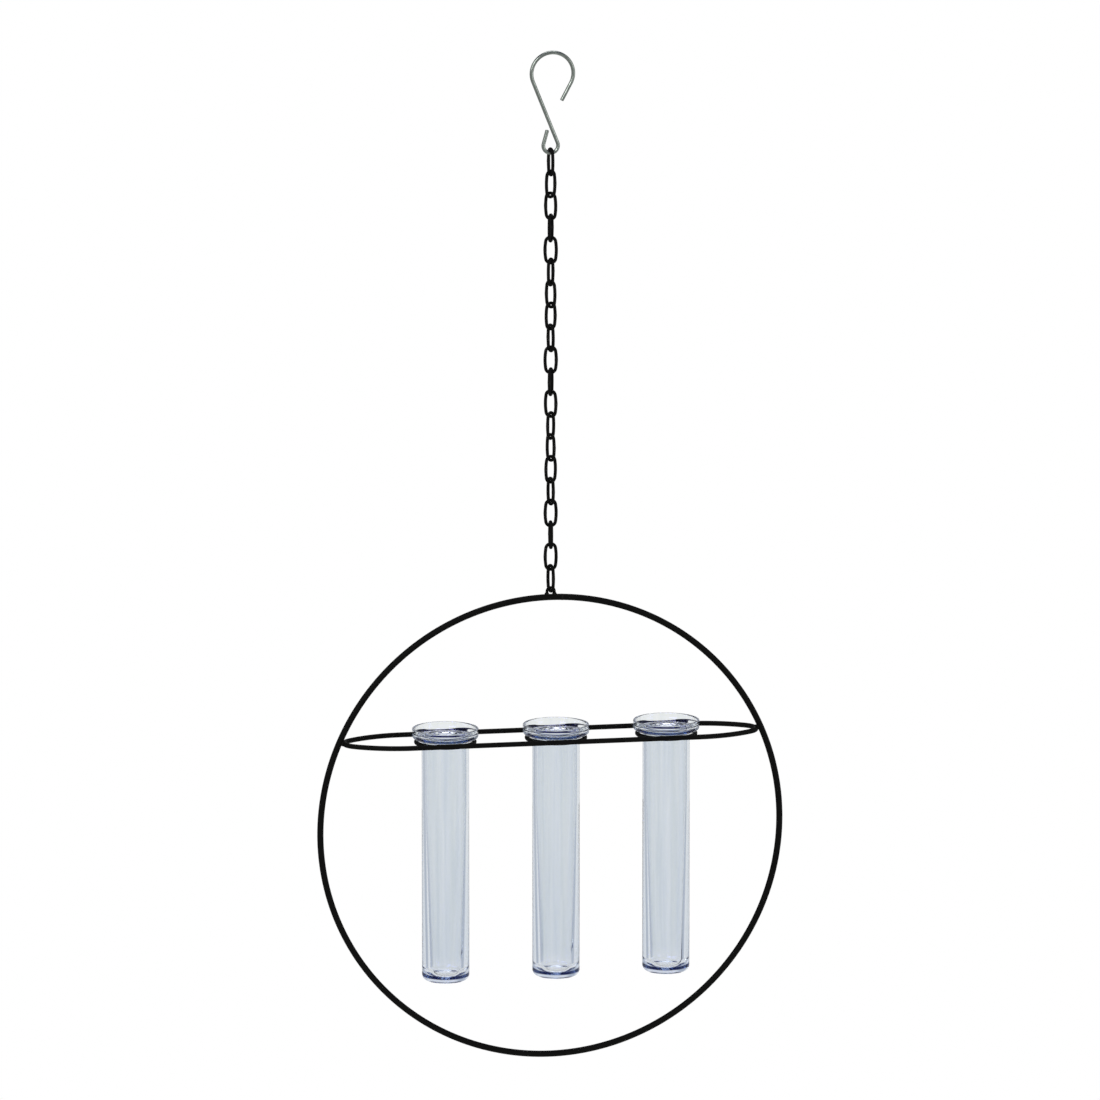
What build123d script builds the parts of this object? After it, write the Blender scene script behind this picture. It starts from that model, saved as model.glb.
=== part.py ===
"""Hanging vase: three glass tube vases in a wire hoop, hung on a chain and an S-hook.

Millimetres, +Z up. The origin is the point inside the hook's upper loop that bears on a rail.
The chain hangs down the Z axis, the hoop lies in the XZ plane and -Y is the front.
"""

import os
from math import atan2, cos, degrees, hypot, radians, sin, sqrt

from build123d import *

# S-hook of round wire: a wide upper loop, a small lower loop and a slanted shank
HOOK_WIRE = 2.4
HOOK_UPPER_RADIUS = 13.3
HOOK_LOWER_RADIUS = 4.7
HOOK_LOOP_SPACING = 45.6
HOOK_LOOP_SHIFT = 1.1
HOOK_TIP_LENGTH = 12.5
HOOK_TIP_LEAN = 28.0
HOOK_TAIL_LENGTH = 9.0
HOOK_TAIL_LEAN = 15.5
HOOK_END_ROUND = 0.3

# Chain of oval welded links, each at the twist in degrees that it hangs at
LINK_WIRE = 2.1
LINK_INNER_LENGTH = 14.3
LINK_INNER_WIDTH = 5.0
LINK_BOW = 0.4
LINK_GAP = 0.3
LINK_TWISTS = (-78, 31, -38, 64, -14, 55, -52, 27, -74, -5, 65, -33, 47, -63, 22, -73, 3, -91, 3, -72)

# Hoop of round wire, with a small eye welded on top of it for the last link
HOOP_OUTER_DIAMETER = 300.0
HOOP_WIRE = 4.0
EYE_WIRE = 1.8
EYE_INNER_WIDTH = 3.0
EYE_SLACK = 0.8
EYE_BEAD_RADIUS = 1.6

# Holder: a long wire loop across the hoop, this far above its middle, with three rings between its long
# sides. The middle ring sits a little right of the chain, as in the photo.
HOLDER_HEIGHT = 58.4
HOLDER_WIRE = 3.2
HOLDER_TIP_RADIUS = 11.5
HOLDER_FLANK_RADIUS = 60.0
HOLDER_BEAD_RADIUS = 2.1
RING_WIRE = 2.8
RING_CLEARANCE = 2.0
RING_DROP = 1.0
RING_END_DISTANCE = 61.2
RING_SHIFT = 3.4
WELD_DEPTH = 0.25

# Glass tube vase, hung by its flared rim. Its bore is straight down to the stated depth, then narrows to the
# thicker wall at its foot.
VASE_OUTER_DIAMETER = 30.0
VASE_LENGTH = 163.2
VASE_WALL = 2.2
VASE_FOOT_WALL = 5.2
VASE_STRAIGHT_DEPTH = 52.0
VASE_TAPER_ROUND = 60.0
VASE_BASE = 3.4
VASE_BASE_ROUND = 4.2
VASE_FLOOR_ROUND = 6.0
RIM_OVERHANG = 6.0
RIM_HEIGHT = 6.8
RIM_WALL = 1.7
RIM_EDGE_ROUND = 0.7
RIM_UNDER_ROUND = 2.3
RIM_BOWL_ROUND = 2.9
RIM_NECK_ROUND = 1.4
RIM_SEAT_GAP = 0.2


def rim_level_on(wire_z: float, offset: float, wire: float) -> float:
    """Return the level of a rim's underside, seated on a wire this far out from its rounded edge."""
    reach = RIM_UNDER_ROUND + wire / 2 + RIM_SEAT_GAP
    return wire_z + sqrt(max(0, reach**2 - max(0, offset) ** 2)) - RIM_UNDER_ROUND


# Hook loop centres, from the bearing point on the chain line
hook_bore = HOOK_UPPER_RADIUS - HOOK_WIRE / 2
upper_x = HOOK_LOOP_SHIFT
upper_z = -sqrt(hook_bore**2 - HOOK_LOOP_SHIFT**2)
lower_z = upper_z - HOOK_LOOP_SPACING

# Chain levels: each link's wire rides over the wire above it with the running gap
link_half_length = (LINK_INNER_LENGTH + LINK_WIRE) / 2
link_half_width = (LINK_INNER_WIDTH + LINK_WIRE) / 2
link_pitch = LINK_INNER_LENGTH - LINK_GAP
hook_seat_z = lower_z - HOOK_LOWER_RADIUS
first_link_z = hook_seat_z + (HOOK_WIRE + LINK_WIRE) / 2 + LINK_GAP - link_half_length
last_seat_z = first_link_z - link_pitch * (len(LINK_TWISTS) - 1) - link_half_length

# Hoop and eye levels, from the wire of the last link
hoop_radius = (HOOP_OUTER_DIAMETER - HOOP_WIRE) / 2
hoop_top_z = last_seat_z - LINK_WIRE / 2 - EYE_SLACK - HOOP_WIRE / 2
hoop_z = hoop_top_z - hoop_radius
eye_radius = (EYE_INNER_WIDTH + EYE_WIRE) / 2
eye_crown_z = last_seat_z + (LINK_WIRE + EYE_WIRE) / 2 + LINK_GAP

# Holder outline: the rings reach just into its long sides, and its tips into the hoop
holder_z = hoop_z + HOLDER_HEIGHT
ring_radius = VASE_OUTER_DIAMETER / 2 + RING_CLEARANCE + RING_WIRE / 2
ring_z = holder_z - RING_DROP
ring_reach = (RING_WIRE + HOLDER_WIRE) / 2 - WELD_DEPTH
holder_half_width = ring_radius + sqrt(ring_reach**2 - RING_DROP**2)
tip_reach = hoop_radius - (HOOP_WIRE + HOLDER_WIRE) / 2 + WELD_DEPTH
holder_half_length = sqrt(tip_reach**2 - HOLDER_HEIGHT**2)
ring_spacing = holder_half_length - RING_END_DISTANCE
ring_places = {
    "left": RING_SHIFT - ring_spacing,
    "middle": RING_SHIFT,
    "right": RING_SHIFT + ring_spacing,
}

# Vase levels: the rounded underside of the rim rests on the ring or on the holder's sides
vase_radius = VASE_OUTER_DIAMETER / 2
bore_radius = vase_radius - VASE_WALL
foot_radius = vase_radius - VASE_FOOT_WALL
rim_radius = vase_radius + RIM_OVERHANG
under_radius = rim_radius - RIM_UNDER_ROUND
rim_top_z = RIM_HEIGHT + max(
    rim_level_on(ring_z, ring_radius - under_radius, RING_WIRE),
    rim_level_on(holder_z, holder_half_width - under_radius, HOLDER_WIRE),
)

# Corners of half a vase's section, as radius and height from the rim's top, with their rounds
lip_radius = rim_radius - RIM_WALL
bowl_level = RIM_WALL - RIM_HEIGHT
floor_level = VASE_BASE - VASE_LENGTH
vase_corners = {
    (vase_radius, -VASE_LENGTH): VASE_BASE_ROUND,
    (vase_radius, -RIM_HEIGHT): RIM_NECK_ROUND,
    (rim_radius, -RIM_HEIGHT): RIM_UNDER_ROUND,
    (rim_radius, 0): RIM_EDGE_ROUND,
    (lip_radius, 0): RIM_EDGE_ROUND,
    (lip_radius, bowl_level): RIM_BOWL_ROUND,
    (bore_radius, bowl_level): RIM_NECK_ROUND,
    (bore_radius, -VASE_STRAIGHT_DEPTH): VASE_TAPER_ROUND,
    (foot_radius, floor_level): VASE_FLOOR_ROUND,
}


def across_start(path: Wire) -> Plane:
    """Return the plane square to a path at its start."""
    return Plane(origin=path @ 0, z_dir=path % 0)


def save(builder: BuildPart, name: str) -> None:
    """Label a finished piece and write its file."""
    builder.part.label = name
    export_step(builder.part, f"parts/{name}.step")


def hook_path() -> Wire:
    """Return the hook's wire centre-line, from the tail of the lower loop to the upper tip."""
    radius_sum = HOOK_UPPER_RADIUS + HOOK_LOWER_RADIUS
    loop_distance = hypot(HOOK_LOOP_SHIFT, HOOK_LOOP_SPACING)
    shank_length = sqrt(loop_distance**2 - radius_sum**2)
    loop_angle = degrees(atan2(HOOK_LOOP_SPACING, HOOK_LOOP_SHIFT))
    lower_turn = loop_angle - degrees(atan2(shank_length, radius_sum))
    upper_turn = 180 + lower_turn
    tail_turn = 180 - HOOK_TAIL_LEAN
    with BuildLine(Plane.XZ) as path:
        lower = CenterArc((0, lower_z), HOOK_LOWER_RADIUS, tail_turn, 360 - tail_turn + lower_turn)
        upper = CenterArc((upper_x, upper_z), HOOK_UPPER_RADIUS, upper_turn, -upper_turn - HOOK_TIP_LEAN)
        Line(lower @ 1, upper @ 0)
        PolarLine(lower @ 0, HOOK_TAIL_LENGTH, direction=lower % 0 * -1)
        PolarLine(upper @ 1, HOOK_TIP_LENGTH, direction=upper % 1)
    return path.wire()


def link_path(plane: Plane) -> Wire:
    """Return a link's wire centre-line: two round ends joined by slightly bowed sides."""
    end_radius = link_half_width - LINK_BOW
    end_centre = link_half_length - end_radius
    side_radius = (link_half_width**2 + end_centre**2 - end_radius**2) / (2 * LINK_BOW)
    side_centre = side_radius - link_half_width
    turn = degrees(atan2(end_centre, side_centre))
    with BuildLine(plane) as path:
        CenterArc((-side_centre, 0), side_radius, -turn, 2 * turn)
        CenterArc((0, end_centre), end_radius, turn, 180 - 2 * turn)
        CenterArc((side_centre, 0), side_radius, 180 - turn, 2 * turn)
        CenterArc((0, -end_centre), end_radius, 180 + turn, 180 - 2 * turn)
    return path.wire()


def holder_path() -> Wire:
    """Return the holder's wire centre-line: long straight sides drawn in to rounded tips."""
    tip_centre = holder_half_length - HOLDER_TIP_RADIUS
    flank_drop = HOLDER_FLANK_RADIUS - holder_half_width
    flank_run = sqrt((HOLDER_FLANK_RADIUS - HOLDER_TIP_RADIUS) ** 2 - flank_drop**2)
    flank_centre = tip_centre - flank_run
    turn = degrees(atan2(flank_drop, flank_run))
    with BuildLine(Plane.XY.offset(holder_z)) as path:
        Line((-flank_centre, -holder_half_width), (flank_centre, -holder_half_width))
        CenterArc((flank_centre, flank_drop), HOLDER_FLANK_RADIUS, -90, 90 - turn)
        CenterArc((tip_centre, 0), HOLDER_TIP_RADIUS, -turn, 2 * turn)
        CenterArc((flank_centre, -flank_drop), HOLDER_FLANK_RADIUS, turn, 90 - turn)
        Line((flank_centre, holder_half_width), (-flank_centre, holder_half_width))
        CenterArc((-flank_centre, -flank_drop), HOLDER_FLANK_RADIUS, 90, 90 - turn)
        CenterArc((-tip_centre, 0), HOLDER_TIP_RADIUS, 180 - turn, 2 * turn)
        CenterArc((-flank_centre, flank_drop), HOLDER_FLANK_RADIUS, 180 + turn, 90 - turn)
    return path.wire()


os.makedirs("parts", exist_ok=True)

# S-hook, its two wire ends slightly rounded
with BuildPart() as s_hook:
    hook_wire = hook_path()
    with BuildSketch(across_start(hook_wire)):
        Circle(HOOK_WIRE / 2)
    sweep(path=hook_wire)
    fillet(s_hook.faces().filter_by(GeomType.PLANE).edges(), HOOK_END_ROUND)
save(s_hook, "s_hook")

# Chain links, from the hook down
for index, twist in enumerate(LINK_TWISTS):
    across = (cos(radians(twist)), sin(radians(twist)), 0)
    facing = (sin(radians(twist)), -cos(radians(twist)), 0)
    link_plane = Plane((0, 0, first_link_z - index * link_pitch), x_dir=across, z_dir=facing)
    with BuildPart() as chain_link:
        link_wire = link_path(link_plane)
        with BuildSketch(across_start(link_wire)):
            Circle(LINK_WIRE / 2)
        sweep(path=link_wire)
    save(chain_link, f"chain_link_{index + 1:02d}")

# Hoop, bent from one wire into a ring
with BuildPart(Plane.XZ) as hoop:
    with Locations((0, hoop_z)):
        Torus(hoop_radius, HOOP_WIRE / 2)
save(hoop, "hoop")

# Eye: a small arch of wire whose two legs stand on the hoop
with BuildPart() as eye_blank:
    arch_z = eye_crown_z - eye_radius
    with BuildLine(Plane.XZ) as eye_line:
        arch = CenterArc((0, arch_z), eye_radius, 0, 180)
        Line((eye_radius, hoop_top_z), arch @ 0)
        Line(arch @ 1, (-eye_radius, hoop_top_z))
    eye_wire = eye_line.wire()
    with BuildSketch(across_start(eye_wire)):
        Circle(EYE_WIRE / 2)
    sweep(path=eye_wire)
with BuildPart() as hanging_eye:
    add(eye_blank.part)
    add(hoop.part, mode=Mode.SUBTRACT)
save(hanging_eye, "hanging_eye")

# Weld beads round the feet of the eye
with BuildPart() as eye_welds:
    with Locations(Plane.XZ):
        with Locations((-eye_radius, hoop_top_z + HOOP_WIRE / 2), (eye_radius, hoop_top_z + HOOP_WIRE / 2)):
            Sphere(EYE_BEAD_RADIUS)
    add(eye_blank.part, mode=Mode.SUBTRACT)
    add(hoop.part, mode=Mode.SUBTRACT)
save(eye_welds, "eye_welds")

# Holder loop, its tips let into the hoop's inner side where they are welded
with BuildPart() as holder_blank:
    holder_wire = holder_path()
    with BuildSketch(across_start(holder_wire)):
        Circle(HOLDER_WIRE / 2)
    sweep(path=holder_wire)
with BuildPart() as holder_loop:
    add(holder_blank.part)
    add(hoop.part, mode=Mode.SUBTRACT)
save(holder_loop, "holder_loop")

# Weld beads on the hoop's inner side, straight out from the holder's tips
bead_share = (hoop_radius - HOOP_WIRE / 2) / tip_reach
bead_x = holder_half_length * bead_share
bead_z = hoop_z + HOLDER_HEIGHT * bead_share
for side, sign in (("left", -1), ("right", 1)):
    with BuildPart() as holder_weld:
        with Locations((sign * bead_x, 0, bead_z)):
            Sphere(HOLDER_BEAD_RADIUS)
        add(holder_blank.part, mode=Mode.SUBTRACT)
        add(hoop.part, mode=Mode.SUBTRACT)
    save(holder_weld, f"holder_weld_{side}")

# Rings, let into the holder's long sides where they are welded
for side, ring_x in ring_places.items():
    with BuildPart() as ring:
        with Locations((ring_x, 0, ring_z)):
            Torus(ring_radius, RING_WIRE / 2)
        add(holder_loop.part, mode=Mode.SUBTRACT)
    save(ring, f"holder_ring_{side}")

# Glass vases, one through each ring
for side, ring_x in ring_places.items():
    with BuildPart() as vase:
        with BuildSketch(Plane((ring_x, 0, rim_top_z), x_dir=(1, 0, 0), z_dir=(0, -1, 0))):
            with BuildLine():
                Polyline((0, -VASE_LENGTH), *vase_corners, (0, floor_level), close=True)
            make_face()
            for corner, corner_round in vase_corners.items():
                fillet(vertices().sort_by_distance((*corner, 0))[0], corner_round)
        revolve(axis=Axis((ring_x, 0, 0), (0, 0, 1)))
    save(vase, f"vase_{side}")
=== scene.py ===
"""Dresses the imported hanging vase: hook, chain, wire hoop and holder, weld beads and glass tubes.

Lengths are metres in the CAD frame, and the sizes in the classes are millimetres. The chain hangs down the
Z axis, the hoop lies in the XZ plane and -Y is the front.
"""

from __future__ import annotations

import logging
import math
from dataclasses import dataclass, field
from enum import Enum
from typing import ClassVar

import bmesh
import bpy
import numpy as np
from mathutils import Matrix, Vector, noise

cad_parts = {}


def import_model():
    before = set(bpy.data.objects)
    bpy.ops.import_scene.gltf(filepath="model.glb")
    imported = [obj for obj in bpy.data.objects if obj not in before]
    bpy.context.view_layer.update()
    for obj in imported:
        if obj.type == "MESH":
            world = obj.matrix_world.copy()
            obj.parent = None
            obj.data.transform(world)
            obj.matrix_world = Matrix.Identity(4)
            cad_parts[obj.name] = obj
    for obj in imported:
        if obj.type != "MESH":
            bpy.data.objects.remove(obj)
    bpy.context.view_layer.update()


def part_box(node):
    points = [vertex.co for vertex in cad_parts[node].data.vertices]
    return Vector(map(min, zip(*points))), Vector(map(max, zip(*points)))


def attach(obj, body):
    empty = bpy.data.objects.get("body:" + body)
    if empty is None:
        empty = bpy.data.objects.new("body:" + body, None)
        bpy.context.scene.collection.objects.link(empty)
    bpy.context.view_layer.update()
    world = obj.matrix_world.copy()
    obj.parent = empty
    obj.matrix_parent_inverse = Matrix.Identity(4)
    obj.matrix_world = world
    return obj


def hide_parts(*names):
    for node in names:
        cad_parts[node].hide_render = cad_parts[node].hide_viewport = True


LOG = logging.getLogger("hanging_vase")
MM = 0.001
# Light crosses many glass walls in the rims and bases
GLASS_BOUNCES = 64
# Points of a path closer than this, in millimetres, are one
SAME_POINT = 1e-4


class Side(Enum):
    """Place of a vase and its ring on the holder."""

    LEFT = "left"
    MIDDLE = "middle"
    RIGHT = "right"


class Slot(Enum):
    """Material slots of the record."""

    HOOK = "galvanised_steel"
    WIRE = "black_coated_steel"
    GLASS = "clear_glass"


def hex_to_linear(code: str) -> tuple[float, float, float, float]:
    """Turn an sRGB hex colour into linear RGBA.

    Args:
        code: Six hex digits.

    Returns:
        Linear red, green, blue and an alpha of 1.
    """
    channels = [int(code[i : i + 2], 16) / 255 for i in (0, 2, 4)]
    linear = [c / 12.92 if c <= 0.04045 else ((c + 0.055) / 1.055) ** 2.4 for c in channels]
    return (linear[0], linear[1], linear[2], 1.0)


def add_node(
    tree: bpy.types.NodeTree,
    kind: str,
    inputs: dict[int | str, object] | None = None,
    **settings: object,
) -> bpy.types.Node:
    """Add one node to a tree.

    Args:
        tree: Shader or geometry tree.
        kind: Node type.
        inputs: Socket name or number, with a value or the socket that feeds it.
        settings: Properties of the node.

    Returns:
        The new node.
    """
    node = tree.nodes.new(kind)
    for name, value in settings.items():
        setattr(node, name, value)
    for key, value in (inputs or {}).items():
        if isinstance(value, bpy.types.NodeSocket):
            tree.links.new(value, node.inputs[key])
        else:
            node.inputs[key].default_value = value
    return node


def new_material(name: str) -> tuple[bpy.types.Material, bpy.types.NodeTree, bpy.types.Node]:
    """Make an empty material.

    Args:
        name: Common name of the real material.

    Returns:
        The material, its node tree and its output node.
    """
    material = bpy.data.materials.new(name)
    material.use_nodes = True
    material.node_tree.nodes.clear()
    return material, material.node_tree, add_node(material.node_tree, "ShaderNodeOutputMaterial")


@dataclass(frozen=True)
class PowderCoat:
    """Black powder coat, baked on steel wire: satin, slightly uneven and faintly dimpled."""

    dark: str = "070707"
    light: str = "121211"
    weld: str = "1C1C1B"
    dark_roughness: float = 0.44
    light_roughness: float = 0.60
    gloss_level: float = 0.035
    cloud_mm: float = 7.0
    dimple_mm: float = 0.7

    def build(self) -> bpy.types.Material:
        """Return the material: near-black with soft grey lines of light along the wire."""
        material, tree, output = new_material("Powder-coated steel")
        place = add_node(tree, "ShaderNodeTexCoord").outputs["Object"]
        cloud = add_node(
            tree,
            "ShaderNodeTexNoise",
            {"Vector": place, "Scale": 1 / (self.cloud_mm * MM), "Detail": 4.0, "Roughness": 0.6},
        )
        coat = add_node(
            tree,
            "ShaderNodeMix",
            {"Factor": cloud.outputs["Fac"], 6: hex_to_linear(self.dark), 7: hex_to_linear(self.light)},
            data_type="RGBA",
        )
        # The coat lies thicker and greyer over welded seams
        seam = add_node(tree, "ShaderNodeAttribute", attribute_name="swell")
        colour = add_node(
            tree,
            "ShaderNodeMix",
            {"Factor": seam.outputs["Fac"], 6: coat.outputs[2], 7: hex_to_linear(self.weld)},
            data_type="RGBA",
        )
        roughness = add_node(
            tree,
            "ShaderNodeMapRange",
            {
                "Value": cloud.outputs["Fac"],
                "From Min": 0.3,
                "From Max": 0.7,
                "To Min": self.dark_roughness,
                "To Max": self.light_roughness,
            },
        )
        # Real dimples are some 0.3 mm across, too fine to show, so they are drawn coarser
        dimple = add_node(
            tree,
            "ShaderNodeTexNoise",
            {"Vector": place, "Scale": 1 / (self.dimple_mm * MM), "Detail": 2.0},
        )
        bump = add_node(
            tree,
            "ShaderNodeBump",
            {"Height": dimple.outputs["Fac"], "Strength": 0.25, "Distance": 0.03 * MM},
        )
        shader = add_node(
            tree,
            "ShaderNodeBsdfPrincipled",
            {
                "Base Color": colour.outputs[2],
                "Roughness": roughness.outputs[0],
                "IOR": 1.5,
                "Specular IOR Level": self.gloss_level,
                "Normal": bump.outputs[0],
            },
        )
        tree.links.new(shader.outputs[0], output.inputs["Surface"])
        return material


@dataclass(frozen=True)
class GalvanisedWire:
    """Zinc-coated steel wire, drawn and bent: a soft grey shine, mottled by the zinc."""

    dull: str = "565D58"
    bright: str = "A9B0A9"
    dull_roughness: float = 0.36
    bright_roughness: float = 0.20
    spangle_mm: float = 2.6
    draw_mm: float = 0.5

    def build(self) -> bpy.types.Material:
        """Return the material: grey metal whose blotches differ in shade and in gloss."""
        material, tree, output = new_material("Galvanised steel")
        place = add_node(tree, "ShaderNodeTexCoord").outputs["Object"]
        blotch = add_node(
            tree,
            "ShaderNodeTexNoise",
            {"Vector": place, "Scale": 1 / (self.spangle_mm * MM), "Detail": 5.0, "Roughness": 0.65},
        )
        colour = add_node(
            tree,
            "ShaderNodeMix",
            {"Factor": blotch.outputs["Fac"], 6: hex_to_linear(self.dull), 7: hex_to_linear(self.bright)},
            data_type="RGBA",
        )
        roughness = add_node(
            tree,
            "ShaderNodeMapRange",
            {
                "Value": blotch.outputs["Fac"],
                "From Min": 0.3,
                "From Max": 0.7,
                "To Min": self.dull_roughness,
                "To Max": self.bright_roughness,
            },
        )
        # Real draw marks are some 0.05 mm apart, too fine to show, so they are drawn coarser
        draw = add_node(
            tree,
            "ShaderNodeTexNoise",
            {"Vector": place, "Scale": 1 / (self.draw_mm * MM), "Detail": 3.0},
        )
        bump = add_node(
            tree,
            "ShaderNodeBump",
            {"Height": draw.outputs["Fac"], "Strength": 0.35, "Distance": 0.04 * MM},
        )
        shader = add_node(
            tree,
            "ShaderNodeBsdfPrincipled",
            {
                "Base Color": colour.outputs[2],
                "Metallic": 1.0,
                "Roughness": roughness.outputs[0],
                "Normal": bump.outputs[0],
            },
        )
        tree.links.new(shader.outputs[0], output.inputs["Surface"])
        return material


@dataclass(frozen=True)
class TubeGlass:
    """Soda-lime glass, drawn to a tube and worked at the torch: clear, faintly slate blue, with long draw
    lines.
    """

    surface: str = "ECEFF2"
    depth: str = "90A9CC"
    density: float = 20.0
    streak: str = "E3E8ED"
    # Painted highlight: the whiter tint of the rim and the foot
    painted_highlight: str = "FCFCFF"
    # Painted reflection: a blue-violet tint on every reflection of the glass
    painted_reflection_blue: str = "9CA0FF"
    line_mm: float = 3.0
    line_length_mm: float = 90.0

    def build(self) -> bpy.types.Material:
        """Return the material: a pale tint that deepens where the eye looks along the wall."""
        material, tree, output = new_material("Soda-lime glass")
        place = add_node(tree, "ShaderNodeTexCoord").outputs["Object"]
        across, along = 1 / (self.line_mm * MM), 1 / (self.line_length_mm * MM)
        stretched = add_node(
            tree, "ShaderNodeMapping", {"Vector": place, "Scale": (across, across, along)}
        )
        lines = add_node(
            tree, "ShaderNodeTexNoise", {"Vector": stretched.outputs[0], "Scale": 1.0, "Detail": 2.0}
        )
        bump = add_node(
            tree, "ShaderNodeBump", {"Height": lines.outputs["Fac"], "Strength": 0.2, "Distance": 0.05 * MM}
        )
        streak = add_node(
            tree,
            "ShaderNodeMapRange",
            {"Value": lines.outputs["Fac"], "From Min": 0.3, "From Max": 0.62, "To Min": 1.0, "To Max": 0.0},
            interpolation_type="SMOOTHSTEP",
        )
        tint = add_node(
            tree,
            "ShaderNodeMix",
            {"Factor": streak.outputs[0], 6: hex_to_linear(self.surface), 7: hex_to_linear(self.streak)},
            data_type="RGBA",
        )
        # Painted highlight: the rim and the foot get a whiter, clearer tint than the tube between them
        painted_highlight_mask = add_node(tree, "ShaderNodeAttribute", attribute_name="painted_highlight_share")
        clear = add_node(
            tree,
            "ShaderNodeMix",
            {"Factor": painted_highlight_mask.outputs["Fac"], 6: tint.outputs[2], 7: hex_to_linear(self.painted_highlight)},
            data_type="RGBA",
        )
        # The specular tint paints the glass's reflections indigo blue, a painted reflection colour
        shader = add_node(
            tree,
            "ShaderNodeBsdfPrincipled",
            {
                "Base Color": clear.outputs[2],
                "Roughness": 0.0,
                "IOR": 1.5,
                "Transmission Weight": 1.0,
                "Specular Tint": hex_to_linear(self.painted_reflection_blue),
                "Normal": bump.outputs[0],
            },
        )
        inside = add_node(
            tree, "ShaderNodeVolumeAbsorption", {"Color": hex_to_linear(self.depth), "Density": self.density}
        )
        tree.links.new(shader.outputs[0], output.inputs["Surface"])
        tree.links.new(inside.outputs[0], output.inputs["Volume"])
        return material


@dataclass
class WirePath:
    """Centre-line of a bent wire in its own plane, in millimetres."""

    step: float = 0.4
    closed: bool = False
    points: list[tuple[float, float]] = field(default_factory=list)

    def arc(self, centre: tuple[float, float], radius: float, start: float, sweep: float) -> WirePath:
        """Add an arc.

        Args:
            centre: Centre of the arc.
            radius: Radius of the arc.
            start: First angle in degrees.
            sweep: Angle that it turns through, in degrees.

        Returns:
            This path.
        """
        count = max(6, math.ceil(abs(math.radians(sweep)) * radius / self.step))
        for i in range(count + 1):
            angle = math.radians(start + sweep * i / count)
            self.add(centre[0] + radius * math.cos(angle), centre[1] + radius * math.sin(angle))
        return self

    def line(self, length: float, direction: float) -> WirePath:
        """Add a straight run from the last point.

        Args:
            length: Length of the run.
            direction: Its angle in degrees.

        Returns:
            This path.
        """
        x, y = self.points[-1]
        count = max(1, math.ceil(length / (4 * self.step)))
        for i in range(1, count + 1):
            run = length * i / count
            angle = math.radians(direction)
            self.add(x + run * math.cos(angle), y + run * math.sin(angle))
        return self

    def add(self, x: float, y: float) -> None:
        """Add a point, unless the path is already there."""
        if not self.points or math.dist(self.points[-1], (x, y)) > SAME_POINT:
            self.points.append((x, y))

    def split_last(self, times: int) -> WirePath:
        """Halve the last run this many times, ever closer to its end, and return this path."""
        for _ in range(times):
            self.points.insert(-1, tuple(np.add(self.points[-2], self.points[-1]) / 2))
        return self

    def flat(self) -> np.ndarray:
        """Return the points, without the last one of a closed path where it repeats the first."""
        points = self.points
        if self.closed and math.dist(points[0], points[-1]) < SAME_POINT:
            points = points[:-1]
        return np.array(points)

    def standing(self) -> np.ndarray:
        """Return the points in metres, with the path's plane as the XZ plane."""
        flat = self.flat()
        return np.column_stack((flat[:, 0], np.zeros(len(flat)), flat[:, 1])) * MM

    def lying(self) -> np.ndarray:
        """Return the points in metres, with the path's plane as the XY plane."""
        flat = self.flat()
        return np.column_stack((flat, np.zeros(len(flat)))) * MM


@dataclass(frozen=True)
class WireSpec:
    """Wire of one piece in millimetres, its place in metres and its turn about Z in radians."""

    diameter: float
    sides: int
    finish: bpy.types.Material
    place: tuple[float, float, float] = (0.0, 0.0, 0.0)
    twist: float = 0.0
    seam_swell: float = 0.0

    def inputs(self) -> dict[str, object]:
        """Return the values of the wire tree's inputs by name."""
        return {
            "Wire Radius": self.diameter / 2 * MM,
            "Sides": self.sides,
            "Seam Swell": self.seam_swell,
            "Twist": self.twist,
            "Place": self.place,
            "Finish": self.finish,
        }


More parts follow.
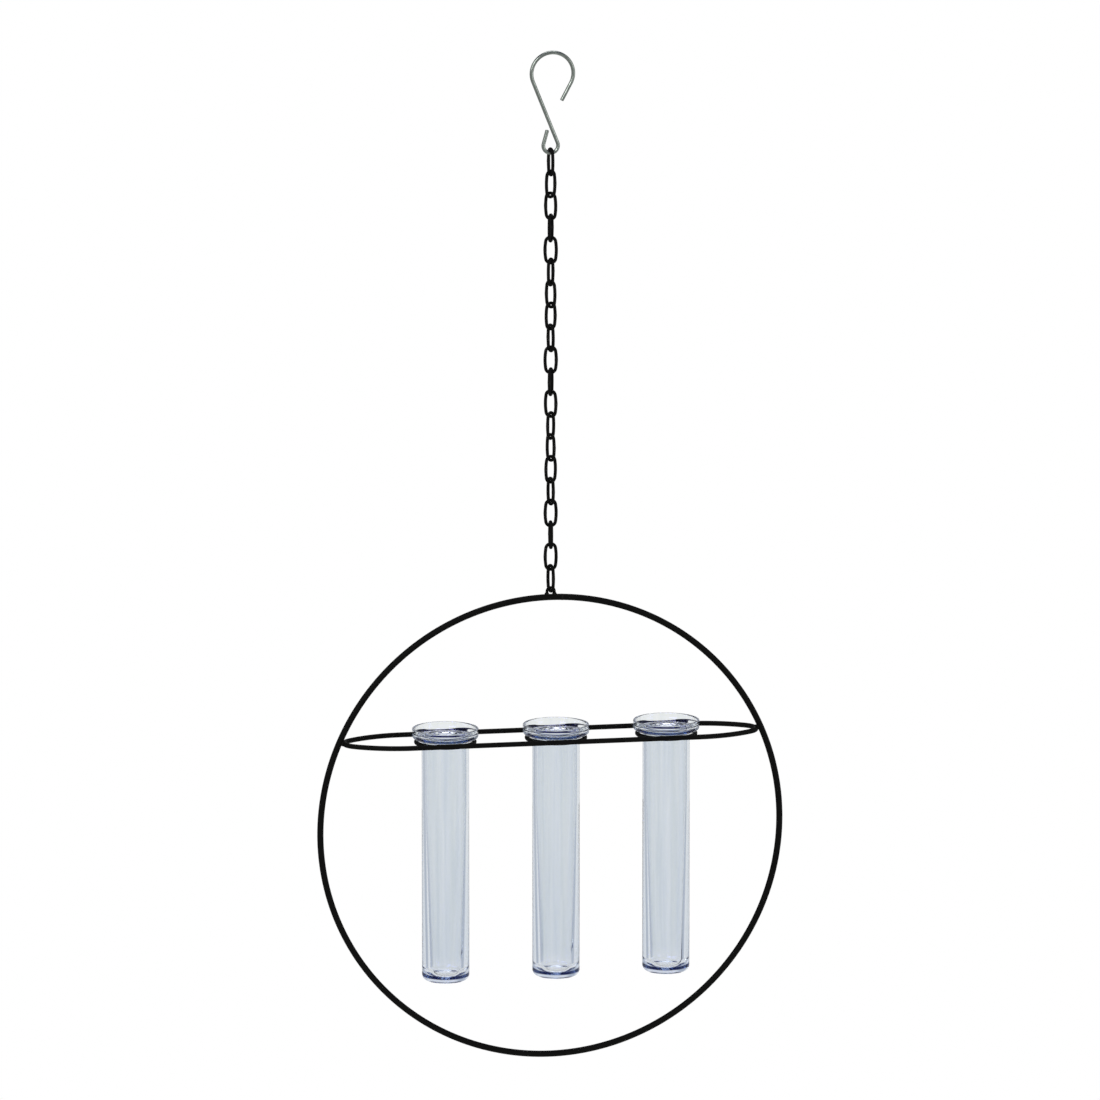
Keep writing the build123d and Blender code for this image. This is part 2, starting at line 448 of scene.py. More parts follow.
class WireTree:
    """Geometry Nodes tree that sweeps round wire along a path, then turns and lifts it into place."""

    INPUTS = {
        "Wire Radius": "NodeSocketFloat",
        "Sides": "NodeSocketInt",
        "Seam Swell": "NodeSocketFloat",
        "Twist": "NodeSocketFloat",
        "Place": "NodeSocketVector",
        "Finish": "NodeSocketMaterial",
    }

    def __init__(self) -> None:
        """Build the tree."""
        tree = bpy.data.node_groups.new("wire_sweep", "GeometryNodeTree")
        tree.interface.new_socket("Geometry", in_out="INPUT", socket_type="NodeSocketGeometry")
        for name, kind in self.INPUTS.items():
            tree.interface.new_socket(name, in_out="INPUT", socket_type=kind)
        tree.interface.new_socket("Geometry", in_out="OUTPUT", socket_type="NodeSocketGeometry")
        given = add_node(tree, "NodeGroupInput").outputs
        path = add_node(tree, "GeometryNodeMeshToCurve", {"Mesh": given["Geometry"]})
        profile = add_node(
            tree,
            "GeometryNodeCurvePrimitiveCircle",
            {"Resolution": given["Sides"], "Radius": given["Wire Radius"]},
        )
        seam = add_node(tree, "GeometryNodeInputNamedAttribute", {"Name": "swell"}, data_type="FLOAT")
        swell = add_node(
            tree,
            "ShaderNodeMath",
            {0: seam.outputs["Attribute"], 1: given["Seam Swell"], 2: 1.0},
            operation="MULTIPLY_ADD",
        )
        taper = add_node(tree, "GeometryNodeInputNamedAttribute", {"Name": "taper"}, data_type="FLOAT")
        scale = add_node(
            tree,
            "ShaderNodeMath",
            {0: swell.outputs[0], 1: taper.outputs["Attribute"]},
            operation="MULTIPLY",
        )
        wire = add_node(
            tree,
            "GeometryNodeCurveToMesh",
            {
                "Curve": path.outputs[0],
                "Profile Curve": profile.outputs["Curve"],
                "Scale": scale.outputs[0],
                "Fill Caps": True,
            },
        )
        turn = add_node(tree, "ShaderNodeCombineXYZ", {"Z": given["Twist"]})
        rotation = add_node(tree, "FunctionNodeEulerToRotation", {"Euler": turn.outputs[0]})
        placed = add_node(
            tree,
            "GeometryNodeTransform",
            {"Geometry": wire.outputs[0], "Translation": given["Place"], "Rotation": rotation.outputs[0]},
        )
        smooth = add_node(tree, "GeometryNodeSetShadeSmooth", {"Geometry": placed.outputs[0]})
        solid = add_node(tree, "GeometryNodeRealizeInstances", {"Geometry": smooth.outputs[0]})
        dressed = add_node(
            tree, "GeometryNodeSetMaterial", {"Geometry": solid.outputs[0], "Material": given["Finish"]}
        )
        add_node(tree, "NodeGroupOutput", {"Geometry": dressed.outputs[0]})
        self.tree = tree
        self.sockets = {
            item.name: item.identifier for item in tree.interface.items_tree if item.in_out == "INPUT"
        }

    def sweep(
        self,
        name: str,
        points: np.ndarray,
        closed: bool,
        spec: WireSpec,
        swell: np.ndarray | None = None,
        taper: np.ndarray | None = None,
    ) -> bpy.types.Object:
        """Sweep a wire and return it as a plain mesh.

        Args:
            name: Name of the piece.
            points: Points of the path in metres, one row each.
            closed: Whether the path joins up with its start.
            spec: Wire of the piece, and where it goes.
            swell: Share of the seam's swelling at each point.
            taper: Share of the wire's radius at each point.

        Returns:
            The piece, at the origin.
        """
        count = len(points)
        edges = [(i, i + 1) for i in range(count - 1)] + ([(count - 1, 0)] if closed else [])
        mesh = bpy.data.meshes.new(name + "_path")
        mesh.from_pydata(points.tolist(), edges, [])
        for key, share in (("swell", swell), ("taper", taper)):
            if share is None:
                share = np.full(count, 0.0 if key == "swell" else 1.0)
            mesh.attributes.new(key, "FLOAT", "POINT").data.foreach_set("value", share.astype(np.float32))
        path = bpy.data.objects.new(name + "_path", mesh)
        bpy.context.scene.collection.objects.link(path)
        modifier = path.modifiers.new("wire", "NODES")
        modifier.node_group = self.tree
        for key, value in spec.inputs().items():
            modifier[self.sockets[key]] = value
        graph = bpy.context.evaluated_depsgraph_get()
        result = bpy.data.meshes.new_from_object(
            path.evaluated_get(graph), preserve_all_data_layers=True, depsgraph=graph
        )
        path.modifiers.remove(modifier)
        bpy.data.objects.remove(path)
        bpy.data.meshes.remove(mesh)
        result.name = name
        piece = bpy.data.objects.new(name, result)
        bpy.context.scene.collection.objects.link(piece)
        return piece


def mount_piece(piece: bpy.types.Object, body: str, nodes: list[str]) -> None:
    """Join a finished piece to its body, and hide what it stands for.

    Args:
        piece: Finished object at the origin.
        body: CAD body that it moves with.
        nodes: CAD nodes that it stands for.
    """
    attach(piece, body)
    if nodes:
        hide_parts(*nodes)
    LOG.info("%s on %s: %d faces", piece.name, body, len(piece.data.polygons))


def node_middle(node: str) -> Vector:
    """Return the middle of a CAD node's box, in metres."""
    low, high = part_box(node)
    return (low + high) / 2


@dataclass
class SHook:
    """Open S-hook of galvanised wire that hangs the chain on a rail."""

    wire: float = 2.4
    upper_radius: float = 13.3
    lower_radius: float = 4.7
    loop_spacing: float = 45.6
    loop_shift: float = 1.1
    tip_length: float = 12.5
    tip_lean: float = 28.0
    tail_length: float = 9.0
    tail_lean: float = 15.5
    end_round: float = 0.5
    end_splits: int = 5

    def path(self) -> np.ndarray:
        """Return the centre-line from the tail to the upper tip, in metres."""
        upper_z = -math.sqrt((self.upper_radius - self.wire / 2) ** 2 - self.loop_shift**2)
        lower_z = upper_z - self.loop_spacing
        radii = self.upper_radius + self.lower_radius
        shank = math.sqrt(math.hypot(self.loop_shift, self.loop_spacing) ** 2 - radii**2)
        loop_angle = math.degrees(math.atan2(self.loop_spacing, self.loop_shift))
        turn = loop_angle - math.degrees(math.atan2(shank, radii))
        tail = 180 - self.tail_lean
        lower_sweep = 360 - tail + turn
        start = math.radians(tail)
        tail_end = (
            self.lower_radius * math.cos(start) + self.tail_length * math.sin(start),
            lower_z + self.lower_radius * math.sin(start) - self.tail_length * math.cos(start),
        )
        line = WirePath(step=0.3)
        line.add(*tail_end)
        line.line(self.end_round, tail - 270).split_last(self.end_splits)
        line.line(self.tail_length - self.end_round, tail - 270)
        line.arc((0, lower_z), self.lower_radius, tail, lower_sweep)
        line.line(shank, turn + 90)
        line.arc((self.loop_shift, upper_z), self.upper_radius, 180 + turn, -180 - turn - self.tip_lean)
        line.line(self.tip_length - self.end_round, -90 - self.tip_lean)
        return line.line(self.end_round, -90 - self.tip_lean).split_last(self.end_splits).standing()

    def build(self, tree: WireTree, finish: bpy.types.Material) -> None:
        """Build and mount the hook, with its cut ends slightly rounded.

        Args:
            tree: Wire tree.
            finish: Galvanised steel.
        """
        points = self.path()
        travelled = np.r_[0, np.cumsum(np.linalg.norm(np.diff(points, axis=0), axis=1))] / MM
        from_end = np.minimum(travelled, travelled[-1] - travelled)
        depth = np.clip(1 - from_end / self.end_round, 0, 1)
        lost = self.end_round * (1 - np.sqrt(np.clip(1 - depth**2, 0, 1)))
        spec = WireSpec(self.wire, 32, finish)
        hook = tree.sweep("hook_wire", points, False, spec, taper=1 - lost / (self.wire / 2))
        mount_piece(hook, "hook", ["s_hook"])


@dataclass
class Chain:
    """Welded oval links, each turned as its CAD node is."""

    count: int = 20
    wire: float = 2.1
    inner_length: float = 14.3
    inner_width: float = 5.0
    bow: float = 0.4
    seam_length: float = 1.1
    seam_swell: float = 0.07

    def path(self) -> tuple[np.ndarray, np.ndarray]:
        """Return a link's centre-line in metres, and where its welded seam lies on it."""
        half_length = (self.inner_length + self.wire) / 2
        half_width = (self.inner_width + self.wire) / 2
        end_radius = half_width - self.bow
        end = half_length - end_radius
        side_radius = (half_width**2 + end**2 - end_radius**2) / (2 * self.bow)
        side = side_radius - half_width
        turn = math.degrees(math.atan2(end, side))
        line = WirePath(step=0.22, closed=True)
        line.arc((-side, 0), side_radius, -turn, 2 * turn)
        line.arc((0, end), end_radius, turn, 180 - 2 * turn)
        line.arc((side, 0), side_radius, 180 - turn, 2 * turn)
        line.arc((0, -end), end_radius, 180 + turn, 180 - 2 * turn)
        flat = line.flat()
        seam = np.exp(-((flat[:, 1] / self.seam_length) ** 2)) * (flat[:, 0] > 0)
        return line.standing(), seam

    def twist(self, node: str) -> float:
        """Return the turn of a link about the chain, in radians, from the spread of its CAD node."""
        mesh = bpy.data.objects[node].data
        place = np.empty(len(mesh.vertices) * 3, np.float32)
        mesh.vertices.foreach_get("co", place)
        flat = place.reshape(-1, 3)[:, :2].astype(float)
        flat -= (flat.min(0) + flat.max(0)) / 2
        spread = flat.T @ flat
        return 0.5 * math.atan2(2 * spread[0, 1], spread[0, 0] - spread[1, 1])

    def build(self, tree: WireTree, finish: bpy.types.Material) -> None:
        """Build and mount every link.

        Args:
            tree: Wire tree.
            finish: Powder-coated steel.
        """
        points, seam = self.path()
        for number in range(1, self.count + 1):
            node = f"chain_link_{number:02d}"
            # The seam faces the other way on every second link
            twist = self.twist(node) + (math.pi if number % 2 else 0.0)
            place = (0.0, 0.0, node_middle(node).z)
            spec = WireSpec(self.wire, 16, finish, place, twist, self.seam_swell)
            link = tree.sweep(f"link_{number:02d}_wire", points, True, spec, swell=seam)
            mount_piece(link, f"link_{number:02d}", [node])


@dataclass
class WeldBead:
    """Small uneven bead of weld metal under the coat."""

    # Share of the coat's weld grey that a bead shows
    GREY: ClassVar[float] = 0.45
    radius: float
    seed: int
    rough: float = 0.10
    ripple_mm: float = 1.3

    def add_to(self, mesh: bmesh.types.BMesh, place: Vector, squash: Vector = Vector((1, 1, 1))) -> None:
        """Add the bead to a mesh.

        Args:
            mesh: Mesh that gathers the beads.
            place: Middle of the bead, in metres.
            squash: Share of its radius along X, Y and Z.
        """
        made = bmesh.ops.create_icosphere(mesh, subdivisions=4, radius=1.0)["verts"]
        for vertex in made:
            way = vertex.co.normalized()
            lump = noise.noise(way * (self.radius / self.ripple_mm) + Vector((self.seed * 3.7, 0, 0)))
            reach = self.radius * MM * (1 - self.rough + self.rough * lump)
            vertex.co = place + Vector(a * b for a, b in zip(way, squash)) * reach


def bead_piece(name: str, mesh: bmesh.types.BMesh, finish: bpy.types.Material) -> bpy.types.Object:
    """Turn gathered weld beads into a piece.

    Args:
        name: Name of the piece.
        mesh: Gathered beads.
        finish: Powder-coated steel.

    Returns:
        The piece, at the origin.
    """
    for face in mesh.faces:
        face.smooth = True
    data = bpy.data.meshes.new(name)
    mesh.to_mesh(data)
    mesh.free()
    data.materials.append(finish)
    weld = data.attributes.new("swell", "FLOAT", "POINT")
    weld.data.foreach_set("value", np.full(len(data.vertices), WeldBead.GREY, np.float32))
    piece = bpy.data.objects.new(name, data)
    bpy.context.scene.collection.objects.link(piece)
    return piece


@dataclass
class Hoop:
    """Round wire hoop with its butt seam, and the eye welded on top."""

    outer_diameter: float = 300.0
    wire: float = 4.0
    seam_offset: float = 7.3
    seam_length: float = 0.45
    seam_swell: float = 0.05
    eye_wire: float = 1.8
    eye_inner_width: float = 3.0
    bead_radius: float = 1.6

    def build(self, tree: WireTree, finish: bpy.types.Material) -> None:
        """Build and mount the hoop, the eye and the beads at the eye's feet.

        Args:
            tree: Wire tree.
            finish: Powder-coated steel.
        """
        middle = Vector((0, 0, node_middle("hoop").z))
        radius = (self.outer_diameter - self.wire) / 2
        line = WirePath(step=0.6, closed=True).arc((0, 0), radius, 90, 360)
        flat = line.flat()
        away = np.hypot(flat[:, 0] - self.seam_offset, flat[:, 1] - radius)
        seam = np.exp(-((away / self.seam_length) ** 2))
        spec = WireSpec(self.wire, 28, finish, tuple(middle), seam_swell=self.seam_swell)
        hoop = tree.sweep("hoop_wire", line.standing(), True, spec, swell=seam)
        mount_piece(hoop, "frame", ["hoop"])
        self.build_eye(tree, finish, middle.z + radius * MM)

    def build_eye(self, tree: WireTree, finish: bpy.types.Material, top: float) -> None:
        """Build and mount the eye and its beads.

        Args:
            tree: Wire tree.
            finish: Powder-coated steel.
            top: Level of the hoop's wire at its top, in metres.
        """
        radius = (self.eye_inner_width + self.eye_wire) / 2
        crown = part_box("hanging_eye")[1].z / MM - self.eye_wire / 2
        foot = top / MM
        line = WirePath(step=0.2)
        line.add(-radius, foot)
        line.line(crown - radius - foot, 90).arc((0, crown - radius), radius, 180, -180)
        line.line(crown - radius - foot, -90)
        eye = tree.sweep("eye_wire", line.standing(), False, WireSpec(self.eye_wire, 20, finish))
        mount_piece(eye, "frame", ["hanging_eye"])
        beads = bmesh.new()
        for seed, side in enumerate((-1, 1)):
            place = Vector((side * radius * MM, 0, top + self.wire / 2 * MM))
            WeldBead(self.bead_radius, seed).add_to(beads, place)
        mount_piece(bead_piece("eye_beads", beads, finish), "frame", ["eye_welds"])


@dataclass
class Holder:
    """Long wire loop across the hoop, with the three rings that carry the vases."""

    wire: float = 3.2
    tip_radius: float = 11.5
    flank_radius: float = 60.0
    tip_bead_radius: float = 2.1
    ring_wire: float = 2.8
    tack_radius: float = 1.5
    tack_squash: tuple[float, float, float] = (1.5, 0.9, 0.9)

    def path(self, half_length: float, half_width: float) -> np.ndarray:
        """Return the loop's centre-line in its plane, in metres.

        Args:
            half_length: Half its length in millimetres.
            half_width: Half its width in millimetres.

        Returns:
            One row per point.
        """
        tip = half_length - self.tip_radius
        drop = self.flank_radius - half_width
        run = math.sqrt((self.flank_radius - self.tip_radius) ** 2 - drop**2)
        flank = tip - run
        turn = math.degrees(math.atan2(drop, run))
        line = WirePath(step=0.5, closed=True)
        line.add(-flank, -half_width)
        line.line(2 * flank, 0).arc((flank, drop), self.flank_radius, -90, 90 - turn)
        line.arc((tip, 0), self.tip_radius, -turn, 2 * turn)
        line.arc((flank, -drop), self.flank_radius, turn, 90 - turn)
        line.line(2 * flank, 180).arc((-flank, -drop), self.flank_radius, 90, 90 - turn)
        line.arc((-tip, 0), self.tip_radius, 180 - turn, 2 * turn)
        line.arc((-flank, drop), self.flank_radius, 180 + turn, 90 - turn)
        return line.lying()

    def build(self, tree: WireTree, finish: bpy.types.Material) -> None:
        """Build and mount the loop, its tip beads, the rings and their tack welds.

        Args:
            tree: Wire tree.
            finish: Powder-coated steel.
        """
        low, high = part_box("holder_loop")
        half_width = (high.y - low.y) / 2 / MM - self.wire / 2
        half_length = (high.x - low.x) / 2 / MM - self.wire / 2
        level = (low.z + high.z) / 2
        spec = WireSpec(self.wire, 24, finish, (0.0, 0.0, level))
        loop = tree.sweep("holder_wire", self.path(half_length, half_width), True, spec)
        mount_piece(loop, "frame", ["holder_loop"])
        for seed, side in enumerate((Side.LEFT, Side.RIGHT)):
            node = f"holder_weld_{side.value}"
            bead = bmesh.new()
            WeldBead(self.tip_bead_radius, 10 + seed).add_to(bead, node_middle(node))
            mount_piece(bead_piece(f"tip_bead_{side.value}", bead, finish), "frame", [node])
        tacks = bmesh.new()
        for seed, side in enumerate(Side):
            self.build_ring(side, tree, finish)
            ring = node_middle(f"holder_ring_{side.value}")
            for way in (-1, 1):
                contact = Vector((ring.x, way * (half_width - self.wire / 2) * MM, (ring.z + level) / 2))
                bead = WeldBead(self.tack_radius, 20 + 2 * seed + way)
                bead.add_to(tacks, contact, Vector(self.tack_squash))
        mount_piece(bead_piece("ring_tacks", tacks, finish), "frame", [])

    def build_ring(self, side: Side, tree: WireTree, finish: bpy.types.Material) -> None:
        """Build and mount one ring.

        Args:
            side: Place of the ring.
            tree: Wire tree.
            finish: Powder-coated steel.
        """
        node = f"holder_ring_{side.value}"
        low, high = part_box(node)
        radius = (high.x - low.x) / 2 / MM - self.ring_wire / 2
        line = WirePath(step=0.5, closed=True).arc((0, 0), radius, 0, 360)
        spec = WireSpec(self.ring_wire, 22, finish, tuple(node_middle(node)))
        ring = tree.sweep(f"ring_{side.value}_wire", line.lying(), True, spec)
        mount_piece(ring, "frame", [node])


@dataclass
class GlassVase:
    """Glass tube with a flared rim, whose slightly uneven bore narrows to a thick foot."""

    side: Side
    diameter: float = 30.0
    length: float = 163.2
    wall: float = 2.2
    foot_wall: float = 5.2
    straight_depth: float = 52.0
    taper_round: float = 60.0
    base: float = 3.4
    base_round: float = 4.2
    floor_round: float = 6.0
    rim_overhang: float = 6.0
    rim_height: float = 6.8
    rim_wall: float = 1.7
    edge_round: float = 0.7
    under_round: float = 2.3
    bowl_round: float = 2.9
    neck_round: float = 1.4
    ripple: float = 0.05
    ripple_waves: int = 6
    ripple_start: float = 4.0
    ripple_fade: float = 15.0
    # Painted highlight: how far and how much the whiter tint reaches at the rim and the foot
    painted_highlight_fade: float = 6.0
    rim_painted_highlight: float = 0.15
    foot_painted_highlight: float = 0.5
    segments: int = 192
    round_step: float = 0.25
    run_step: float = 4.0
    end_step: float = 0.15

    def section(self) -> np.ndarray:
        """Return half the section as radius and height from the rim's top, in millimetres."""
        radius = self.diameter / 2
        bore, foot, rim = radius - self.wall, radius - self.foot_wall, radius + self.rim_overhang
        lip, bowl = rim - self.rim_wall, self.rim_wall - self.rim_height
        floor = self.base - self.length
        corners = [
            (0, -self.length, 0),
            (radius, -self.length, self.base_round),
            (radius, -self.rim_height, self.neck_round),
            (rim, -self.rim_height, self.under_round),
            (rim, 0, self.edge_round),
            (lip, 0, self.edge_round),
            (lip, bowl, self.bowl_round),
            (bore, bowl, self.neck_round),
            (bore, -self.straight_depth, self.taper_round),
            (foot, floor, self.floor_round),
            (0, floor, 0),
        ]
        line: list[np.ndarray] = [np.array(corners[0][:2], float)]
        for before, corner, after in zip(corners, corners[1:], corners[2:]):
            here = np.array(corner[:2], float)
            back, on = np.array(before[:2]) - here, np.array(after[:2]) - here
            back, on = back / np.linalg.norm(back), on / np.linalg.norm(on)
            half = math.acos(float(np.clip(back @ on, -1, 1))) / 2
            reach = corner[2] / math.tan(half)
            middle = here + (back + on) / np.linalg.norm(back + on) * corner[2] / math.sin(half)
            first, last = here + back * reach - middle, here + on * reach - middle
            start = math.atan2(first[1], first[0])
            sweep = (math.atan2(last[1], last[0]) - start + math.pi) % (2 * math.pi) - math.pi
            steps = max(8, math.ceil(abs(sweep) * corner[2] / self.round_step))
            self.run(line, here + back * reach)
            for i in range(1, steps + 1):
                angle = start + sweep * i / steps
                line.append(middle + corner[2] * np.array((math.cos(angle), math.sin(angle))))
        self.run(line, np.array(corners[-1][:2], float))
        return np.array(line)

    def run(self, line: list[np.ndarray], end: np.ndarray) -> None:
        """Add a straight run to the section, with a point close to each end so that it shades flat.

        Args:
            line: Section so far.
            end: End of the run.
        """
        start = line[-1]
        length = float(np.linalg.norm(end - start))
        if length < 1e-6:
            return
        near = min(self.end_step, length / 4)
        between = np.linspace(near, length - near, max(2, math.ceil(length / self.run_step)))
        line.extend(start + (end - start) * place / length for place in (*between, length))

    def build(self, finish: bpy.types.Material) -> None:
        """Build and mount the vase.

        Args:
            finish: Soda-lime glass.
        """
        node = f"vase_{self.side.value}"
        low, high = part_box(node)
        section = self.section()
        turns = np.arange(self.segments) * 2 * math.pi / self.segments
        chance = np.random.default_rng(list(Side).index(self.side) + 7)
        phase = chance.uniform(0, 2 * math.pi, self.ripple_waves)
        waves = (np.cos((k + 2) * turns + phase[k]) / (k + 2) for k in range(self.ripple_waves))
        uneven = sum(waves) * self.ripple
        inner = self.diameter / 2 - self.wall
        middle = ((low.x + high.x) / 2, (low.y + high.y) / 2, high.z)
        rows = []
        for radius, height in section[1:-1]:
            below_neck = -height - self.rim_height - self.ripple_start
            above_floor = self.length + height - self.base - self.floor_round
            share = np.clip(min(below_neck, above_floor) / self.ripple_fade, 0, 1)
            reach = radius + uneven * (share if radius < inner + 0.01 else 0.0)
            level = np.full(self.segments, height)
            rows.append(np.column_stack((reach * np.cos(turns), reach * np.sin(turns), level)))
        grid = np.concatenate(rows)
        poles = np.array([(0, 0, section[0][1]), (0, 0, section[-1][1])])
        points = np.concatenate((grid, poles)) * MM + np.array(middle)
        count = self.segments
        faces: list[tuple[int, ...]] = []
        for row in range(len(rows) - 1):
            for i in range(count):
                j = (i + 1) % count
                faces.append((row * count + i, row * count + j, (row + 1) * count + j, (row + 1) * count + i))
        last = (len(rows) - 1) * count
        for i in range(count):
            j = (i + 1) % count
            faces.append((len(grid), j, i))
            faces.append((len(grid) + 1, last + i, last + j))
        mesh = bpy.data.meshes.new(node + "_glass")
        mesh.from_pydata(points.tolist(), [], faces)
        mesh.shade_smooth()
        mesh.materials.append(finish)
        # Painted highlight: a whiter tint at the rim, and most at the foot
        below_rim = -points[:, 2] / MM + middle[2] / MM - self.rim_height
        above_foot = self.length - self.rim_height - below_rim
        painted_highlight_share = self.rim_painted_highlight * np.clip(1 - below_rim / self.painted_highlight_fade, 0, 1)
        painted_highlight_share = np.maximum(painted_highlight_share, self.foot_painted_highlight * np.clip(2 - above_foot / self.painted_highlight_fade, 0, 1))
        mesh.attributes.new("painted_highlight_share", "FLOAT", "POINT").data.foreach_set("value", painted_highlight_share.astype(np.float32))
        piece = bpy.data.objects.new(node + "_glass", mesh)
        bpy.context.scene.collection.objects.link(piece)
        mount_piece(piece, node, [node])


@dataclass
class PhotoCamera:
    """Long lens, a little left of the front and above, framed as a square picture."""

    azimuth: float = -10.800
    elevation: float = 11.064
    distance: float = 7.5674
    focal_px: float = 12000.0
    image_px: float = 1100.0
    sensor: float = 36.0
    target: tuple[float, float, float] = (-0.000424, 0.0, -0.31582)

    def build(self) -> None:
        """Make the camera and set it as the scene's."""
        data = bpy.data.cameras.new("photo_camera")
        data.sensor_width = self.sensor
        data.lens = self.focal_px / self.image_px * self.sensor
        data.clip_end = 100.0
        camera = bpy.data.objects.new("photo_camera", data)
        turn, rise = math.radians(self.azimuth), math.radians(self.elevation)
        back = Vector((math.sin(turn) * math.cos(rise), -math.cos(turn) * math.cos(rise), math.sin(rise)))
        camera.location = Vector(self.target) + back * self.distance
        camera.rotation_euler = back.to_track_quat("Z", "Y").to_euler()
        bpy.context.scene.collection.objects.link(camera)
        bpy.context.scene.camera = camera


@dataclass
class Studio:
    """White room with soft lamps, grey flags and a dark ceiling that draw the glass, and a pale floor."""

    floor_drop: float = 0.15
    floor_radius: float = 0.48
    floor_colour: str = "ECECEA"
    room_light: float = 0.62
    shade: str = "3D4279"
    mirror_level: float = 0.6
    flag_turn: float = -25.0
    flag_half_width: float = 19.0
    flag_colour: str = "C6CCD4"

    def build(self) -> None:
        """Build the room, the lamps and the floor."""
        self.build_world()
        # Name, place and size in metres, power in watts
        lamps = (
            ("key_lamp", (-1.3, -1.6, 0.75), 1.1, 1.1, 22.0),
            ("fill_lamp", (1.7, -1.3, -0.1), 0.9, 1.4, 10.0),
            ("top_lamp", (0.1, 0.25, 1.5), 1.2, 0.7, 12.0),
        )
        aim = Vector((0, 0, -0.4))
        for name, place, width, height, power in lamps:
            data = bpy.data.lights.new(name, "AREA")
            data.shape, data.size, data.size_y, data.energy = "RECTANGLE", width, height, power
            lamp = bpy.data.objects.new(name, data)
            lamp.location = place
            lamp.rotation_euler = (Vector(place) - aim).to_track_quat("Z", "Y").to_euler()
            lamp.visible_camera = False
            bpy.context.scene.collection.objects.link(lamp)
        self.build_floor()

    def build_world(self) -> None:
        """Build the room: white all round, with four grey flags and a dark indigo ceiling."""
        world = bpy.data.worlds.new("white_room")
        world.use_nodes = True
        tree = world.node_tree
        tree.nodes.clear()
        way = add_node(tree, "ShaderNodeTexCoord").outputs["Generated"]
        parts = add_node(tree, "ShaderNodeSeparateXYZ", {"Vector": way}).outputs
        round_room = add_node(tree, "ShaderNodeMath", {0: parts["X"], 1: parts["Y"]}, operation="ARCTAN2")
        quarters = add_node(
            tree,
            "ShaderNodeMath",
            {0: round_room.outputs[0], 1: 4.0, 2: math.radians(-4 * self.flag_turn)},
            operation="MULTIPLY_ADD",
        )
        beam = add_node(tree, "ShaderNodeMath", {0: quarters.outputs[0]}, operation="COSINE")
        flag = add_node(
            tree,
            "ShaderNodeMapRange",
            {
                "Value": beam.outputs[0],
                "From Min": math.cos(math.radians(4 * self.flag_half_width)),
                "From Max": 1.0,
                "To Min": 1.0,
                "To Max": 0.0,
            },
            interpolation_type="SMOOTHSTEP",
        )
        wall = add_node(
            tree,
            "ShaderNodeMix",
            {"Factor": flag.outputs[0], 6: hex_to_linear(self.flag_colour), 7: (1, 1, 1, 1)},
            data_type="RGBA",
        )
        ceiling = add_node(
            tree,
            "ShaderNodeMapRange",
            {"Value": parts["Z"], "From Min": 0.5, "From Max": 0.8, "To Min": 1.0, "To Max": 0.0},
            interpolation_type="SMOOTHSTEP",
        )
        room = add_node(
            tree,
            "ShaderNodeMix",
            {"Factor": ceiling.outputs[0], 6: hex_to_linear(self.shade), 7: wall.outputs[2]},
            data_type="RGBA",
        )
        ray = add_node(tree, "ShaderNodeLightPath").outputs
        shiny = add_node(
            tree,
            "ShaderNodeMath",
            {0: ray["Is Glossy Ray"], 1: ray["Is Transmission Ray"]},
            operation="MAXIMUM",
        )
        level = (self.room_light, self.room_light, self.room_light, 1)
        lit = add_node(
            tree,
            "ShaderNodeMix",
            {"Factor": shiny.outputs[0], 6: level, 7: room.outputs[2]},
            data_type="RGBA",
        )
        seen = add_node(
            tree,
            "ShaderNodeMix",
            {"Factor": ray["Is Camera Ray"], 6: lit.outputs[2], 7: (1, 1, 1, 1)},
            data_type="RGBA",
        )
        mirrored = add_node(
            tree,
            "ShaderNodeMath",
            {0: ray["Is Glossy Ray"], 1: ray["Is Transmission Ray"]},
            operation="SUBTRACT",
            use_clamp=True,
        )
        # Mirrors see the room darker than glass does
        strength = add_node(
            tree,
            "ShaderNodeMapRange",
            {"Value": mirrored.outputs[0], "To Min": 1.0, "To Max": self.mirror_level},
        )
        light = add_node(
            tree, "ShaderNodeBackground", {"Color": seen.outputs[2], "Strength": strength.outputs[0]}
        )
        add_node(tree, "ShaderNodeOutputWorld", {"Surface": light.outputs[0]})
        bpy.context.scene.world = world

    def build_floor(self) -> None:
        """Build the pale floor below the hoop, fading to white at its edge."""
        low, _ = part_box("hoop")
        level = low.z - self.floor_drop
        mesh = bmesh.new()
        bmesh.ops.create_circle(mesh, cap_ends=True, segments=96, radius=self.floor_radius)
        for vertex in mesh.verts:
            vertex.co.z = level
        data = bpy.data.meshes.new("floor")
        mesh.to_mesh(data)
        mesh.free()
        material, tree, output = new_material("Matt white board")
        place = add_node(tree, "ShaderNodeTexCoord").outputs["Object"]
        flat = add_node(tree, "ShaderNodeVectorMath", {0: place, 1: (1, 1, 0)}, operation="MULTIPLY")
        away = add_node(tree, "ShaderNodeVectorMath", {0: flat.outputs[0]}, operation="LENGTH")
        fade = add_node(
            tree,
            "ShaderNodeMapRange",
            {
                "Value": away.outputs["Value"],
                "From Min": self.floor_radius * 0.45,
                "From Max": self.floor_radius * 0.98,
                "To Min": 0.0,
                "To Max": 1.0,
            },
            interpolation_type="SMOOTHSTEP",
        )
        board = add_node(
            tree,
            "ShaderNodeBsdfPrincipled",
            {"Base Color": hex_to_linear(self.floor_colour), "Roughness": 0.9, "Specular IOR Level": 0.1},
        )
        white = add_node(tree, "ShaderNodeEmission", {"Color": (1, 1, 1, 1), "Strength": 1.0})
        mixed = add_node(
            tree, "ShaderNodeMixShader", {0: fade.outputs[0], 1: board.outputs[0], 2: white.outputs[0]}
        )
        tree.links.new(mixed.outputs[0], output.inputs["Surface"])
        data.materials.append(material)
        floor = bpy.data.objects.new("floor", data)
        bpy.context.scene.collection.objects.link(floor)


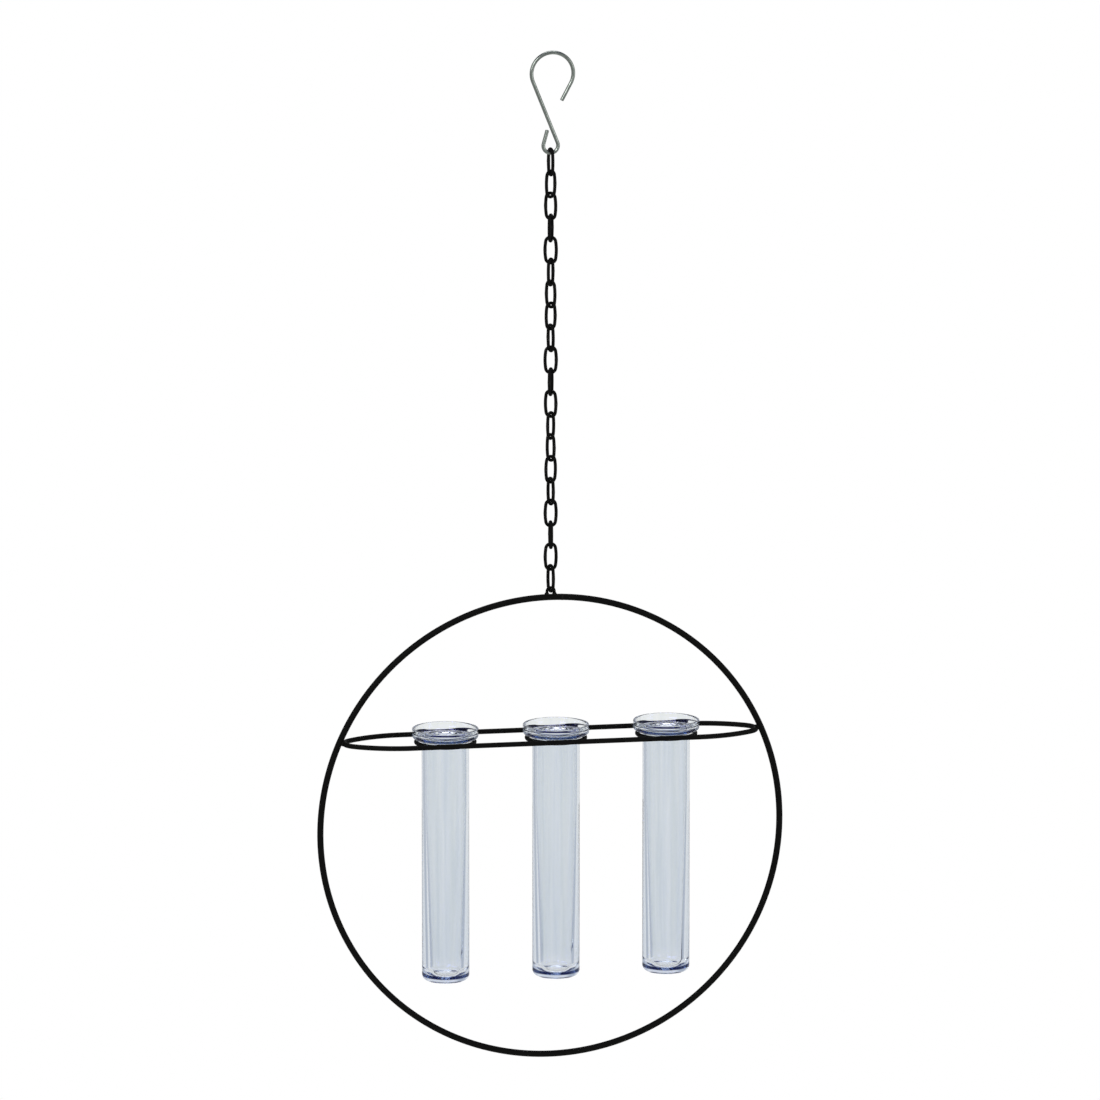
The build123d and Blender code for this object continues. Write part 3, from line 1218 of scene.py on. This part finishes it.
def main() -> None:
    """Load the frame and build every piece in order."""
    logging.basicConfig(level=logging.INFO, format="%(name)s: %(message)s")
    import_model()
    bpy.context.scene.view_settings.view_transform = "Standard"
    cycles = bpy.context.scene.cycles
    cycles.max_bounces = cycles.glossy_bounces = cycles.transmission_bounces = GLASS_BOUNCES
    PhotoCamera().build()
    Studio().build()
    coat, zinc, glass = PowderCoat().build(), GalvanisedWire().build(), TubeGlass().build()
    tree = WireTree()
    SHook().build(tree, zinc)
    Chain().build(tree, coat)
    Hoop().build(tree, coat)
    Holder().build(tree, coat)
    for side in Side:
        GlassVase(side).build(glass)


if __name__ == "__main__":
    main()
